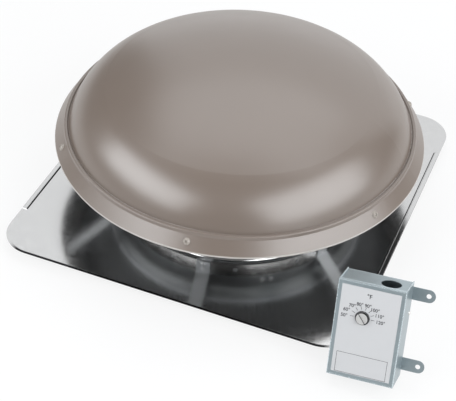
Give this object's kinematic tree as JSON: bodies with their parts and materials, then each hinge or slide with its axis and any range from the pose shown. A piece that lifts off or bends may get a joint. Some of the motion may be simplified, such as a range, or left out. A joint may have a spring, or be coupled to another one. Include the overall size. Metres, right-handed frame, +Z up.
{
  "type": "power attic ventilator",
  "caption": "Roof exhaust fan: a domed hood on legs over a square sheet flashing, a motor-driven axial fan in its throat, and a separate thermostat box with a dial.",
  "frame": {"origin": "on the fan's axis, at the level of the flashing's underside, where the throat's collar passes through it", "axes": "+Z up along the fan's axis, away from the roof; +X along the flashing's hemmed-side direction, across to the hemmed side beside the thermostat; -Y towards the picture's near edge of the flashing"},
  "size_m": [0.688, 0.6321, 0.26],
  "materials": {
    "galvanised_sheet": "bright galvanised steel sheet",
    "bracket_steel": "galvanised steel strip",
    "screen_steel": "galvanised punched mesh",
    "box_steel": "bright galvanised steel sheet",
    "dome_paint": "satin grey-brown paint on steel",
    "motor_paint": "black enamel on steel",
    "cast_alloy": "die-cast aluminium alloy",
    "blade_aluminium": "mill-finish aluminium sheet",
    "steel_fastener": "plain steel rivets and screws",
    "zinc_fastener": "zinc-plated steel",
    "core_steel": "laminated core steel",
    "shaft_steel": "ground steel",
    "bearing_bronze": "sintered bronze",
    "winding_copper": "enamelled copper wire",
    "terminal_brass": "brass",
    "grommet_rubber": "black rubber",
    "black_plastic": "black moulded plastic",
    "label_card": "white printed film",
    "dial_metal": "bright metal disc with a slot"
  },
  "bodies": {
    "ventilator": {"flashing": "galvanised_sheet", "throat_ring": "galvanised_sheet", "throat_rivets": "steel_fastener", "dome": "dome_paint", "dome_screws": "zinc_fastener", "dome_nuts": "zinc_fastener", "dome_leg_1": "bracket_steel", "dome_leg_2": "bracket_steel", "dome_leg_3": "bracket_steel", "dome_leg_4": "bracket_steel", "dome_leg_5": "bracket_steel", "dome_leg_6": "bracket_steel", "leg_rivets": "steel_fastener", "bird_screen": "screen_steel", "motor_arm_1": "bracket_steel", "motor_arm_2": "bracket_steel", "motor_arm_3": "bracket_steel", "arm_rivets": "steel_fastener", "motor_grommets": "grommet_rubber", "motor_mount_bolts": "zinc_fastener", "motor_lower_bell": "cast_alloy", "motor_upper_bell": "cast_alloy", "motor_shell": "motor_paint", "lead_bushing": "black_plastic", "lower_bearing": "bearing_bronze", "upper_bearing": "bearing_bronze", "stator_core": "core_steel", "stator_winding": "winding_copper", "motor_through_bolts": "steel_fastener", "thermostat_base": "box_steel", "thermostat_cover": "box_steel", "thermostat_label": "label_card", "cover_screws": "zinc_fastener", "dial_bushing": "black_plastic", "switch_body": "black_plastic", "bimetal_strip": "bearing_bronze", "terminal_screws": "terminal_brass"},
    "rotor": {"motor_shaft": "shaft_steel", "rotor_core": "core_steel", "shaft_collars": "shaft_steel", "fan_hub": "cast_alloy", "hub_set_screw": "steel_fastener", "fan_spider": "bracket_steel", "fan_blade_1": "blade_aluminium", "fan_blade_2": "blade_aluminium", "fan_blade_3": "blade_aluminium", "fan_blade_4": "blade_aluminium", "fan_rivets": "steel_fastener"},
    "dial": {"adjusting_dial": "dial_metal"}
  },
  "joints": [
    {"name": "fan_spin", "type": "hinge", "parent": "ventilator", "child": "rotor", "pos_m": [0, 0, 0], "axis": [0, 0, 1], "continuous": true},
    {"name": "dial_turn", "type": "hinge", "parent": "ventilator", "child": "dial", "pos_m": [0.30175, -0.3001, 0.08998], "axis": [0.0048, -0.9225, 0.3859], "range_deg": [-128.6, 51.4]}
  ]
}
